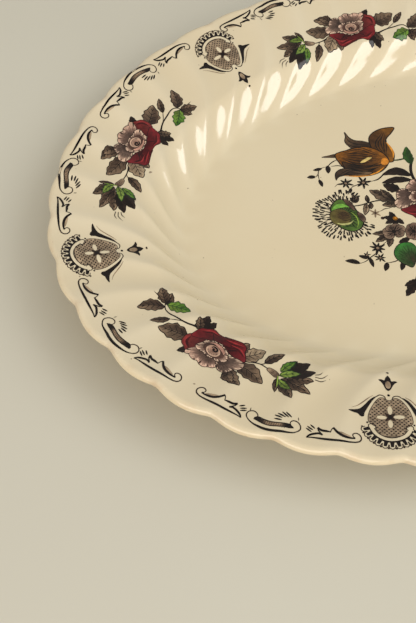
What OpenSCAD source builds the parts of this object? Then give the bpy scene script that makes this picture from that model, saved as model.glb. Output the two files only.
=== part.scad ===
// Swirl-fluted oval serving platter in glazed earthenware.
//
// A pressed body with a scalloped rim, a foot ring luted under the well, and
// the prints laid on the glaze: one centre bouquet, six rose sprays, six
// cartouches and six runs of border scrolls.
//
// The platter stands on z = 0, centred on the origin, with its length along X.
// The wall is laid out in ovals that step inward from the rim. A place on the
// wall is (u, d): u is the angle of its flute column, before bunching and
// swirl, and d is its inset from the rim.

/* [Platter] */

// Length over the rim
length = 330; // [290:5:360]

// Width over the rim
width = 252; // [230:2:270]

// Height from the table to the crest of the rim
height = 25; // [24:0.5:30]

// Depth of the well below the crest of the rim
well_depth = 17.5; // [16:0.5:19]

// Wall thickness of the rim and side
wall = 4.2; // [3.6:0.2:4.4]

/* [Rim and side] */

// Inset at which the broad rim turns down into the side
turn_inset = 36; // [32:1:40]

// Inset at which the side meets the flat well
well_inset = 54; // [52:1:58]

// Fall of the broad rim per unit of inset
rim_slope = 0.17; // [0.1:0.01:0.24]

/* [Flutes] */

// Number of swirled flutes, even so that both halves match
flutes = 42; // [38:2:46]

// Depth of a flute between its two ridges
scoop = 1.0; // [0.6:0.1:1.6]

// Depth of the notch where a ridge meets the rim
notch = 1.5; // [0.8:0.1:2.6]

// Turn of a flute between the rim and the well, in degrees
swirl = 18.5; // [0:0.5:24]

// How far the flutes crowd towards the long sides, in degrees
bunching = 5.4; // [0:0.2:6]

/* [Foot ring] */

// Height of the foot ring
foot_height = 2.5; // [1.5:0.1:2.5]

// Width of the foot ring's seat
foot_width = 4.5; // [3.5:0.5:6]

// Inset of the foot ring's outer face at the ends of the platter
foot_inset = 59; // [58:1:64]

/* [Prints] */

// Build height of a print above the glaze
print_height = 0.2; // [0.1:0.05:0.4]

// Angle of the side cartouches from the ends of the platter
cartouche_angle = 63; // [60:0.5:65]

// Inset of a cartouche's middle from the rim
cartouche_inset = 21.5; // [20:0.5:24]

// Half length and half width of a cartouche
cartouche_half = [16.6, 14.5];

// Angle of each rose spray's middle
spray_angles = [35, 94.5, 148, 215, 274.5, 328];

// Inset of a spray's middle from the rim
spray_inset = 28.5; // [27:0.5:30]

// Half width and half length of a spray
spray_half = [10.5, 35];

// Half length and half width of the centre bouquet
bouquet_half = [58, 45];

/* [Hidden] */

glaze_colour = [0.87, 0.81, 0.68];
ink_colour = [0.22, 0.18, 0.15];
rose_colour = [0.55, 0.14, 0.19];

half_length = length / 2;
half_width = width / 2;
well_floor = height - well_depth;
flutes_per_gap = flutes / 6;

// Columns across each flute: on the ridge, and at the quarters between ridges.
columns_per_flute = 4;
columns = flutes * columns_per_flute;

// The ridges start this far round from the end of the platter, in degrees.
ridge_phase = 0.6;

// Insets of the crest of the rim and of the ovals across the top face.
crest_inset = 2.2;
top_insets = [
    well_inset, 50, 46, 42, 38, 34, 28, 22, 16, 10, 5, crest_inset
];

// Inset and height, from the crest, of the ovals round the edge of the rim.
edge_ovals = [[0.6, -0.8], [0, -2.2], [0.7, -3.7]];

// Insets of the ovals across the under face, ending on the flat underside.
under_flat_inset = well_inset + 1.5;
under_insets = [3.5, 10, 18, 26, 34, 40, 46, 51, under_flat_inset];

function smooth(x) =
    let (c = min(1, max(0, x))) c * c * (3 - 2 * c);

// Height of the top face's ridges above the table, at inset d.
function top_height(d) =
    let (
        flange = rim_slope * (min(d, turn_inset) - crest_inset),
        span = well_inset - turn_inset,
        s = min(1, max(0, (d - turn_inset) / span)),
        tail = rim_slope * span * (s - s * s / 2),
        full = rim_slope * (turn_inset - crest_inset + span / 2)
    )
    height - flange - tail - (well_depth - full) * smooth(s);

// Fall of the top face per unit of inset.
function fall(d) = (top_height(d - 0.05) - top_height(d + 0.05)) / 0.1;

// Share of the flute's depth at inset d: shallow at the rim, none at the well.
function flute_share(d) =
    (0.5 + 0.5 * min(1, d / 20)) * (1 - smooth((d - 44) / (well_inset - 44)));

// How far a column is from its flute's middle: 0 there and 1 on the ridges.
function off_middle(column) =
    let (step = (column % columns_per_flute) / columns_per_flute)
    pow(1 - 2 * step, 2);

// Angle round the oval of a column at inset d.
function column_angle(column, d) =
    let (
        u = ridge_phase + column * 360 / columns
            + swirl * pow(d / well_inset, 3)
    )
    u + bunching * sin(2 * u);

// A point on the plan, at an inset from the oval, and the way inward there.
function inward(angle) =
    let (
        v = [half_width * cos(angle), half_length * sin(angle)]
    )
    -v / norm(v);
function plan(angle, d) =
    [half_length * cos(angle), half_width * sin(angle)] + d * inward(angle);

// A point of the wall on one column. The scoop pushes it down and outward.
function wall_point(column, d, z) =
    let (
        ridge = off_middle(column),
        angle = column_angle(column, d),
        push = scoop * (1 - ridge) * flute_share(d),
        s = fall(max(d, crest_inset + 0.1)),
        lean = push / sqrt(1 + s * s),
        inset = d + notch * ridge * max(0, 1 - d / 14) - lean * s
    )
    concat(plan(angle, inset), z - lean);

function under_height(d) =
    d >= under_flat_inset
        ? foot_height
        : top_height(d) - wall * sqrt(1 + pow(fall(d), 2));

// Every oval of the body, from the well over the rim to the underside.
function body_ovals() = concat(
    [for (d = top_insets) [d, top_height(d)]],
    [for (e = edge_ovals) [e[0], height + e[1]]],
    [for (d = under_insets) [d, under_height(d)]]
);

// Two triangles of one cell between oval j and the next.
function cell(j, i) =
    let (
        a = j * columns + i,
        b = j * columns + (i + 1) % columns,
        c = a + columns,
        e = b + columns
    )
    [[a, c, b], [b, c, e]];

module platter_body() {
    ovals = body_ovals();
    last = len(ovals) - 1;
    points = [
        for (oval = ovals, i = [0:columns - 1]) wall_point(i, oval[0], oval[1])
    ];
    sides = [
        for (j = [0:last - 1], i = [0:columns - 1]) each cell(j, i)
    ];
    floor_face = [for (i = [0:columns - 1]) i];
    under_face = [for (i = [columns - 1:-1:0]) last * columns + i];
    color(glaze_colour)
        polyhedron(points, concat(sides, [floor_face, under_face]));
}

// The oval at an inset from the rim, as straight sides two degrees long.
module oval(inset, h) {
    linear_extrude(h)
        polygon([for (angle = [0:2:358]) plan(angle, inset)]);
}

module foot_ring() {
    color(glaze_colour)
        difference() {
            oval(foot_inset, foot_height);
            translate([0, 0, -1])
                oval(foot_inset + foot_width, foot_height + 2);
        }
}

// A print lies on whole cells of the top face. Cell [j, i] lies between ovals
// j and j + 1 of top_insets, and from column i to the next.
function has(cells, j, i) =
    len([for (c = cells) if (c[0] == j && c[1] == (i + columns) % columns) 1]) > 0;

function top_point(j, i) =
    wall_point(i % columns, top_insets[j], top_height(top_insets[j]));

// Middle of a cell on the plan.
function cell_middle(j, i) =
    let (
        p = top_point(j, i),
        q = top_point(j + 1, i + 1)
    )
    [(p[0] + q[0]) / 2, (p[1] + q[1]) / 2];

// Cells under an oval patch, set at an angle and an inset from the rim.
function patch_cells(angle, inset, half) =
    let (
        middle = plan(angle, inset),
        across = -inward(angle),
        along = [-across[1], across[0]]
    )
    [
        for (j = [0:len(top_insets) - 2], i = [0:columns - 1])
            let (
                v = cell_middle(j, i) - middle,
                p = v * across / half[0],
                q = v * along / half[1]
            )
            if (p * p + q * q < 1) [j, i]
    ];

// A thin solid over a list of cells, from the glaze up to the print's height.
module film(cells) {
    rows = len(top_insets);
    lift = [0, 0, print_height];
    base = [
        for (j = [0:rows - 1], i = [0:columns - 1]) top_point(j, i)
    ];
    used = [
        for (j = [0:rows - 1], i = [0:columns - 1])
            if (has(cells, j, i) || has(cells, j - 1, i)
                || has(cells, j, i - 1) || has(cells, j - 1, i - 1))
                j * columns + i
    ];
    count = len(used);
    points = concat(
        [for (k = used) base[k]],
        [for (k = used) base[k] + lift]
    );
    function at(j, i) = search(j * columns + i % columns, used)[0];
    faces = [
        for (c = cells)
            let (
                j = c[0],
                i = c[1],
                a = at(j, i),
                b = at(j, i + 1),
                g = at(j + 1, i),
                e = at(j + 1, i + 1)
            )
            each concat(
                [
                    [b, g, a], [e, g, b],
                    [a + count, g + count, b + count],
                    [b + count, g + count, e + count]
                ],
                has(cells, j - 1, i) ? [] : wall_faces(a, b, count),
                has(cells, j + 1, i) ? [] : wall_faces(e, g, count),
                has(cells, j, i - 1) ? [] : wall_faces(g, a, count),
                has(cells, j, i + 1) ? [] : wall_faces(b, e, count)
            )
    ];
    polyhedron(points, faces);
}

function wall_faces(p, q, count) =
    [[p, p + count, q], [q, p + count, q + count]];

module rose_spray(k) {
    color(rose_colour)
        film(patch_cells(spray_angles[k], spray_inset, spray_half));
}

function cartouche_angles() = [
    0, cartouche_angle, 180 - cartouche_angle,
    180, 180 + cartouche_angle, 360 - cartouche_angle
];

module cartouche(k) {
    color(ink_colour)
        film(patch_cells(cartouche_angles()[k], cartouche_inset, cartouche_half));
}

// Column nearest to an angle at the rim.
function column_at(angle) =
    let (
        u = angle - bunching * sin(2 * angle),
        v = angle - bunching * sin(2 * u)
    )
    round((v - ridge_phase) * columns / 360);

// The two runs of scrolls between one cartouche and the next.
module border_scrolls(k) {
    row = len(top_insets) - 3;
    from = column_at(cartouche_angles()[k]) + 3;
    upto = column_at(k == 5 ? 360 : cartouche_angles()[k + 1]) - 4;
    middle = floor((from + upto) / 2);
    color(ink_colour)
        for (run = [[from, middle - 1], [middle + 1, upto]])
            film([for (i = [run[0]:run[1]]) [row, (i + columns) % columns]]);
}

// The bouquet lies flat on the well: a middle mass and a ring of blooms.
module centre_bouquet() {
    blooms = 9;
    color(rose_colour)
        translate([0, 0, well_floor])
            linear_extrude(print_height)
                union() {
                    scale([1, bouquet_half[1] / bouquet_half[0]])
                        circle(r = bouquet_half[0] * 0.78, $fn = 64);
                    for (k = [0:blooms - 1])
                        translate([
                            bouquet_half[0] * 0.72 * cos(k * 360 / blooms),
                            bouquet_half[1] * 0.72 * sin(k * 360 / blooms)
                        ])
                            circle(r = bouquet_half[1] * 0.27, $fn = 32);
                }
}

platter_body();
foot_ring();
centre_bouquet();
rose_spray(0);  // rose_spray_1
rose_spray(1);  // rose_spray_2
rose_spray(2);  // rose_spray_3
rose_spray(3);  // rose_spray_4
rose_spray(4);  // rose_spray_5
rose_spray(5);  // rose_spray_6
cartouche(0);  // cartouche_1
cartouche(1);  // cartouche_2
cartouche(2);  // cartouche_3
cartouche(3);  // cartouche_4
cartouche(4);  // cartouche_5
cartouche(5);  // cartouche_6
border_scrolls(0);  // border_scrolls_1
border_scrolls(1);  // border_scrolls_2
border_scrolls(2);  // border_scrolls_3
border_scrolls(3);  // border_scrolls_4
border_scrolls(4);  // border_scrolls_5
border_scrolls(5);  // border_scrolls_6
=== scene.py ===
"""Looks of an oval serving platter: swirl-fluted glazed body, rounded foot ring, and enamelled prints.

The body is laid out in ovals that step inward from the rim, as on the CAD model. Lengths are in
millimetres until a mesh is made. A motif is drawn flat, with x clockwise round the rim and y outward,
cut into triangles, and laid on the glaze.
"""
import math
import random

import bpy
import numpy as np
from mathutils import Matrix, Vector
from mathutils.bvhtree import BVHTree
from mathutils.geometry import delaunay_2d_cdt


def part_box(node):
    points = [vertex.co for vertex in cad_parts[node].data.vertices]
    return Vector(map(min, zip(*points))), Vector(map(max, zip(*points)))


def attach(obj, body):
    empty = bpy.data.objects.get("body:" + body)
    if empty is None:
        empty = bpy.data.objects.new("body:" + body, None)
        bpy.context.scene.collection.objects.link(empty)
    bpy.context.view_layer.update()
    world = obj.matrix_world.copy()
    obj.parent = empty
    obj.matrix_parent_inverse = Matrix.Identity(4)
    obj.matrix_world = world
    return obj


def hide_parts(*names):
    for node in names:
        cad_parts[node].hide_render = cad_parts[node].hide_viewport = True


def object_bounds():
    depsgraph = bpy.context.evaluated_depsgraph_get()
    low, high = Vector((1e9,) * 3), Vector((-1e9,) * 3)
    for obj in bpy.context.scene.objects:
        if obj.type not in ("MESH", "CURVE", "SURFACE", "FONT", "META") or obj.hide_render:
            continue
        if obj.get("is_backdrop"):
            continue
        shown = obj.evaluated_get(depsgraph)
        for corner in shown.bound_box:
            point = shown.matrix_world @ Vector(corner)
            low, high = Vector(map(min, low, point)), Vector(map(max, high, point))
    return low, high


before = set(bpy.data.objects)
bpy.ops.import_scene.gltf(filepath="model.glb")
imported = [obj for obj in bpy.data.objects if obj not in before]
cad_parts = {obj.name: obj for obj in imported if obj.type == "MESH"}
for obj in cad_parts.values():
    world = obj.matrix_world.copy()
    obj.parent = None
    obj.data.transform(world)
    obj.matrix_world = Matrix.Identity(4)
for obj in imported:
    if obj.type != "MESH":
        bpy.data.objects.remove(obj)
cad_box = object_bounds()

MM = 0.001

# ---------------------------------------------------------------- dimensions, as on the CAD model
LENGTH = 330.0
WIDTH = 252.0
WALL = 4.2
TURN_INSET = 36.0
WELL_INSET = 54.0
RIM_SLOPE = 0.17
FLUTES = 42
SCOOP = 1.0
NOTCH = 1.5
FLUTES_FULL_INSET = 20.0
FLUTES_FADE_INSET = 44.0
NOTCH_REACH = 14.0
UNDER_FLAT_MARGIN = 1.5
SWIRL = 18.5
BUNCHING = 5.4
RIDGE_PHASE = 0.6
CREST_INSET = 2.2
FOOT_INSET = 59.0
FOOT_WIDTH = 4.5
HEIGHT = cad_box[1].z / MM
WELL_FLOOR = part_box("centre_bouquet")[0].z / MM
FOOT_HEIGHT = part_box("foot_ring")[1].z / MM
WELL_DEPTH = HEIGHT - WELL_FLOOR
HALF_LENGTH = LENGTH / 2
HALF_WIDTH = WIDTH / 2

# ---------------------------------------------------------------- meshes, fine lines and the floor
COLUMNS_PER_FLUTE = 16
COLUMNS = FLUTES * COLUMNS_PER_FLUTE
RIDGE_ROUNDING = 0.07
PRINT_LIFT = 0.07
PRINT_GRID = 0.8
RAY_WIDTH = 0.36
LEAF_EDGE = 0.36
FOOT_SIDES = 360
FLOOR_SIDE = 60000.0

# ---------------------------------------------------------------- gloss, as a specular level
GLAZE_GLOSS = 0.65
PRINT_GLOSS = 0.24
GLAZE_INDEX = 1.6

# ---------------------------------------------------------------- colours, 0 to 255
INK = (20, 13, 10)
SEPIA = (48, 34, 26)
WASH = (140, 118, 94)
PALE_WASH = (168, 148, 120)
BLUSH = (205, 165, 143)
DEEP_CRIMSON = (44, 7, 10)
CRIMSON = (124, 28, 34)
LEAF_GREEN = (52, 98, 28)
LIME = (138, 166, 66)
DARK_GREEN = (34, 62, 26)
OCHRE = (140, 90, 20)
ORANGE = (222, 146, 44)


# ================================================================ the platter's surface
def smooth(x):
    c = np.clip(x, 0.0, 1.0)
    return c * c * (3 - 2 * c)


def top_height(d):
    """Height of the ridges of the top face above the table, at inset d."""
    span = WELL_INSET - TURN_INSET
    s = np.clip((d - TURN_INSET) / span, 0.0, 1.0)
    flange = RIM_SLOPE * (np.minimum(d, TURN_INSET) - CREST_INSET)
    tail = RIM_SLOPE * span * (s - s * s / 2)
    full = RIM_SLOPE * (TURN_INSET - CREST_INSET + span / 2)
    return HEIGHT - flange - tail - (WELL_DEPTH - full) * smooth(s)


def fall(d):
    return (top_height(d - 0.05) - top_height(d + 0.05)) / 0.1


def flute_share(d):
    rim = 0.5 + 0.5 * np.minimum(1.0, d / FLUTES_FULL_INSET)
    return rim * (1 - smooth((d - FLUTES_FADE_INSET) / (WELL_INSET - FLUTES_FADE_INSET)))


def off_middle(step):
    """0 in the middle of a flute and 1 on its ridges, which are rounded. step runs 0 to 1 across it."""
    far = np.minimum(step, 1 - step)
    top = math.hypot(0.5, RIDGE_ROUNDING) - RIDGE_ROUNDING
    return (1 - (np.hypot(far, RIDGE_ROUNDING) - RIDGE_ROUNDING) / top) ** 2


def column_angle(column, d):
    u = RIDGE_PHASE + column * 360.0 / COLUMNS + SWIRL * (d / WELL_INSET) ** 3
    return u + BUNCHING * np.sin(np.radians(2 * u))


def inward(angle):
    a = np.radians(angle)
    v = -np.stack([HALF_WIDTH * np.cos(a), HALF_LENGTH * np.sin(a)], -1)
    return v / np.linalg.norm(v, axis=-1, keepdims=True)


def plan(angle, d):
    """The point at an angle round the rim's oval and at inset d from it."""
    a = np.radians(angle)
    oval = np.stack([HALF_LENGTH * np.cos(a), HALF_WIDTH * np.sin(a)], -1)
    return oval + np.asarray(d)[..., None] * inward(angle)


def wall_ring(d, z):
    """One ring of the wall, and how much of a ridge each of its points is."""
    column = np.arange(COLUMNS)
    ridge = off_middle((column % COLUMNS_PER_FLUTE) / COLUMNS_PER_FLUTE)
    push = SCOOP * (1 - ridge) * flute_share(d)
    s = fall(max(d, CREST_INSET + 0.1))
    lean = push / math.sqrt(1 + s * s)
    inset = d + NOTCH * ridge * max(0.0, 1 - d / NOTCH_REACH) - lean * s
    xy = plan(column_angle(column, d), inset)
    return np.column_stack([xy, z - lean]), ridge


def under_height(d):
    if d >= WELL_INSET + UNDER_FLAT_MARGIN:
        return FOOT_HEIGHT
    return top_height(d) - WALL * math.sqrt(1 + fall(d) ** 2)


def lip_rings():
    """(inset, height) round the rim's edge, from the crest to the under face."""
    drops = [(CREST_INSET, 0.0), (1.25, -0.1), (0.5, -0.5), (0.12, -1.2), (0.0, -2.1), (0.3, -3.0),
        (1.2, -3.7), (3.5, under_height(3.5) - HEIGHT)]
    path = spline([(d, HEIGHT + drop) for d, drop in drops], 0.45)
    return [(float(d), float(z)) for d, z in path]


def ring_levels():
    """(inset, height) of every ring, from the well over the lip to the flat underside."""
    side = [(d, top_height(d)) for d in np.arange(WELL_INSET, TURN_INSET - 2, -0.75)]
    flange = [(d, top_height(d)) for d in np.linspace(TURN_INSET - 2.5, CREST_INSET + 0.6, 34)]
    under = [(d, under_height(d)) for d in np.linspace(4.5, WELL_INSET + UNDER_FLAT_MARGIN, 40)]
    return side + flange + lip_rings() + under


# ================================================================ meshes
def mesh_object(name, verts_mm, faces):
    mesh = bpy.data.meshes.new(name)
    mesh.from_pydata((np.asarray(verts_mm, float) * MM).tolist(), [], faces)
    mesh.update()
    piece = bpy.data.objects.new(name, mesh)
    bpy.context.scene.collection.objects.link(piece)
    mesh.shade_smooth()
    return piece


def spline(points, step, closed=False):
    """A smooth curve through points, sampled about every step."""
    pts = np.array(points, float)
    if closed:
        ctrl = np.vstack([pts[-1:], pts, pts[:2]])
    else:
        ctrl = np.vstack([2 * pts[:1] - pts[1:2], pts, 2 * pts[-1:] - pts[-2:-1]])
    out = []
    for a, b, c, d in zip(ctrl, ctrl[1:], ctrl[2:], ctrl[3:]):
        count = max(1, round(float(np.linalg.norm(c - b)) / step))
        t = (np.arange(count) / count)[:, None]
        bend = (2 * a - 5 * b + 4 * c - d) * t**2
        out.append(0.5 * (2 * b + (c - a) * t + bend + (3 * b - 3 * c + d - a) * t**3))
    if not closed:
        out.append(pts[-1:])
    return np.vstack(out)


def make_platter():
    """The body, closed over the well and under it, with its ridge share and inset kept for the glaze."""
    levels = ring_levels()
    rings, ridges = zip(*(wall_ring(d, z) for d, z in levels))
    well = [rings[0] * (k, k, 1) for k in (0.2, 0.4, 0.6, 0.8, 0.93)]
    under = [rings[-1] * (k, k, 1) for k in (0.93, 0.8, 0.6, 0.4, 0.2)]
    stack = well + list(rings) + under
    verts = np.vstack(stack + [[[0, 0, WELL_FLOOR]], [[0, 0, FOOT_HEIGHT]]])
    step = np.arange(COLUMNS)
    following = (step + 1) % COLUMNS
    faces = []
    for row in range(len(stack) - 1):
        a, b = row * COLUMNS, (row + 1) * COLUMNS
        faces += np.stack([a + step, b + step, b + following, a + following], 1).tolist()
    last = (len(stack) - 1) * COLUMNS
    hub_top, hub_under = len(verts) - 2, len(verts) - 1
    faces += [(hub_top, int(i), int(j)) for i, j in zip(step, following)]
    faces += [(hub_under, int(last + j), int(last + i)) for i, j in zip(step, following)]
    piece = mesh_object("platter_glazed", verts, faces)

    zero = np.zeros(COLUMNS)
    ridge = np.concatenate([zero] * 5 + list(ridges) + [zero] * 5 + [[0, 0]])
    insets = [WELL_INSET] * 5 + [d for d, _ in levels] + [WELL_INSET] * 5
    edge = np.concatenate([np.repeat(insets, COLUMNS), [WELL_INSET, WELL_INSET]])
    for label, values in (("ridge", ridge), ("inset", edge)):
        piece.data.attributes.new(label, "FLOAT", "POINT").data.foreach_set("value",
            values.astype(np.float32))
    return piece


def make_foot_ring():
    """The foot, rounded and lightly flared into the underside, with a flat seat."""
    outer, inner = FOOT_INSET, FOOT_INSET + FOOT_WIDTH
    middle = (outer + inner) / 2
    half = [(outer - 0.9, FOOT_HEIGHT + 0.05), (outer - 0.15, FOOT_HEIGHT - 0.6), (outer + 0.1, 1.0),
        (outer + 0.5, 0.3), (outer + 1.3, 0.0)]
    other = [(2 * middle - d, z) for d, z in reversed(half)]
    profile = spline(half, 0.3).tolist() + spline(other, 0.3).tolist()
    count = FOOT_SIDES
    angles = np.arange(count) * 360.0 / count
    rings = [np.column_stack([plan(angles, np.full(count, d)), np.full(count, z)]) for d, z in profile]
    verts = np.vstack(rings)
    faces = []
    rows = len(profile)
    for j in range(rows):
        for i in range(count):
            n, k = (i + 1) % count, (j + 1) % rows
            faces.append((j * count + i, k * count + i, k * count + n, j * count + n))
    return mesh_object("foot_ring_turned", verts, faces)


platter = make_platter()
foot = make_foot_ring()


# ================================================================ materials
def linear(colour):
    c = np.array(colour, float) / 255
    return np.where(c <= 0.04045, c / 12.92, ((c + 0.055) / 1.055) ** 2.4)


def rgba(colour):
    return (*linear(colour), 1.0)


class Nodes:
    """Short calls for building one material's node tree."""

    def __init__(self, name):
        self.material = bpy.data.materials.new(name)
        self.material.use_nodes = True
        self.tree = self.material.node_tree
        self.shader = self.tree.nodes["Principled BSDF"]

    def add(self, kind, inputs=None, **settings):
        node = self.tree.nodes.new(kind)
        for key, value in settings.items():
            setattr(node, key, value)
        for key, value in (inputs or {}).items():
            if isinstance(value, bpy.types.NodeSocket):
                self.tree.links.new(value, node.inputs[key])
            else:
                node.inputs[key].default_value = value
        return node

    def attribute(self, name, output="Fac"):
        return self.add("ShaderNodeAttribute", attribute_name=name).outputs[output]

    def noise(self, scale, detail=2.0, roughness=0.5):
        place = self.add("ShaderNodeTexCoord").outputs["Object"]
        return self.add("ShaderNodeTexNoise", {"Vector": place, "Scale": scale, "Detail": detail,
            "Roughness": roughness}).outputs["Fac"]

    def ramp(self, value, low, high, out_low=0.0, out_high=1.0):
        inputs = {"Value": value, "From Min": low, "From Max": high, "To Min": out_low, "To Max": out_high}
        return self.add("ShaderNodeMapRange", inputs, clamp=True).outputs["Result"]

    def math(self, operation, a, b=0.0):
        return self.add("ShaderNodeMath", {0: a, 1: b}, operation=operation).outputs[0]

    def mix(self, factor, a, b, blend="MIX"):
        inputs = {0: factor, 6: a, 7: b}
        return self.add("ShaderNodeMix", inputs, data_type="RGBA", blend_type=blend).outputs[2]

    def bump(self, height, strength, distance):
        inputs = {"Height": height, "Strength": strength, "Distance": distance}
        return self.add("ShaderNodeBump", inputs).outputs["Normal"]

    def into(self, socket, value):
        if isinstance(value, bpy.types.NodeSocket):
            self.tree.links.new(value, self.shader.inputs[socket])
        else:
            self.shader.inputs[socket].default_value = value


def glossy(nodes, level=GLAZE_GLOSS):
    """The clear glaze: a smooth gloss over whatever lies below it, with a faint ripple."""
    ripple = nodes.noise(95.0, 3.0, 0.55)
    nodes.into("Normal", nodes.bump(ripple, 0.35, 0.0002))
    nodes.into("Roughness", nodes.ramp(nodes.noise(60.0), 0.3, 0.7, 0.07, 0.13))
    nodes.into("IOR", GLAZE_INDEX)
    nodes.into("Specular IOR Level", level)


def glaze_material():
    nodes = Nodes("cream_glaze")
    mottle = nodes.ramp(nodes.noise(14.0, 4.0), 0.35, 0.65)
    body = nodes.mix(mottle, rgba((221, 207, 174)), rgba((226, 214, 184)))
    # Painted shade and warm bounce light: the flange and lip are painted a little darker than the well, and
    # the cavetto blends between them.
    well = nodes.ramp(nodes.attribute("inset"), TURN_INSET, WELL_INSET)
    body = nodes.mix(well, body, nodes.mix(mottle, rgba((226, 212, 178)), rgba((230, 218, 186))))
    pooled = nodes.ramp(nodes.attribute("ridge"), 0.0, 0.8, 0.22, 0.0)
    body = nodes.mix(pooled, body, rgba((214, 197, 158)))
    lip = nodes.ramp(nodes.attribute("inset"), 0.2, 3.6, 1.0, 0.0)
    worn = nodes.math("MULTIPLY", lip, nodes.ramp(nodes.attribute("ridge"), 0.35, 0.95))
    worn = nodes.math("MULTIPLY", worn, nodes.ramp(nodes.noise(120.0, 3.0), 0.42, 0.62))
    body = nodes.mix(nodes.math("MULTIPLY", worn, 0.3), body, rgba((150, 104, 62)))
    thin = nodes.math("MULTIPLY", lip, nodes.ramp(nodes.noise(210.0, 2.0), 0.5, 0.7))
    body = nodes.mix(nodes.math("MULTIPLY", thin, 0.35), body, rgba((212, 184, 146)))
    specks = nodes.ramp(nodes.noise(420.0, 1.0), 0.785, 0.81)
    body = nodes.mix(nodes.math("MULTIPLY", specks, 0.65), body, rgba((92, 62, 38)))
    nodes.into("Base Color", body)
    glossy(nodes)
    return nodes.material


def foot_material():
    nodes = Nodes("foot_ring_glaze_and_bisque")
    place = nodes.add("ShaderNodeTexCoord").outputs["Object"]
    height = nodes.add("ShaderNodeSeparateXYZ", {0: place}).outputs["Z"]
    bare = nodes.ramp(height, 0.00012, 0.00045, 1.0, 0.0)
    bisque = nodes.mix(nodes.ramp(nodes.noise(300.0, 4.0), 0.35, 0.7), rgba((206, 178, 138)),
        rgba((150, 118, 84)))
    nodes.into("Base Color", nodes.mix(bare, rgba((224, 209, 174)), bisque))
    nodes.into("Roughness", nodes.ramp(bare, 0.0, 1.0, 0.12, 0.8))
    nodes.into("Normal", nodes.bump(nodes.noise(900.0, 3.0), 0.3, 0.0001))
    return nodes.material


def print_material():
    nodes = Nodes("printed_enamel")
    colour = nodes.attribute("print", "Color")
    grain = nodes.ramp(nodes.noise(1900.0, 2.0), 0.3, 0.7, 0.82, 1.16)
    cloud = nodes.ramp(nodes.noise(430.0, 2.0), 0.32, 0.68, 0.66, 1.26)
    level = nodes.math("MULTIPLY", grain, cloud)
    tint = nodes.add("ShaderNodeCombineColor", {0: level, 1: level, 2: level}).outputs[0]
    nodes.into("Base Color", nodes.mix(1.0, colour, tint, "MULTIPLY"))
    glossy(nodes, PRINT_GLOSS)
    return nodes.material


# ================================================================ flat drawings
def turn_left(path):
    """Unit normals to the left of a path."""
    along = np.gradient(path, axis=0)
    along /= np.maximum(np.linalg.norm(along, axis=1, keepdims=True), 1e-9)
    return np.column_stack([-along[:, 1], along[:, 0]])


def signed_area(ring):
    x, y = ring[:, 0], ring[:, 1]
    return 0.5 * float(np.sum(x * np.roll(y, -1) - np.roll(x, -1) * y))


def inside(points, ring):
    """Which points lie in a closed outline, by counting crossings."""
    hit = np.zeros(len(points), bool)
    x, y = points[:, 0], points[:, 1]
    for (ax, ay), (bx, by) in zip(ring, np.roll(ring, -1, axis=0)):
        if ay != by:
            hit ^= ((ay > y) != (by > y)) & (x < (bx - ax) * (y - ay) / (by - ay) + ax)
    return hit


def circle(centre, radius, sides=12, squash=1.0):
    a = np.arange(sides) * 2 * math.pi / sides
    return np.column_stack([radius * np.cos(a), radius * squash * np.sin(a)]) + np.array(centre)


def mixed(a, b, share):
    share = np.asarray(share)[..., None]
    return np.asarray(a, float) * (1 - share) + np.asarray(b, float) * share


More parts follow.
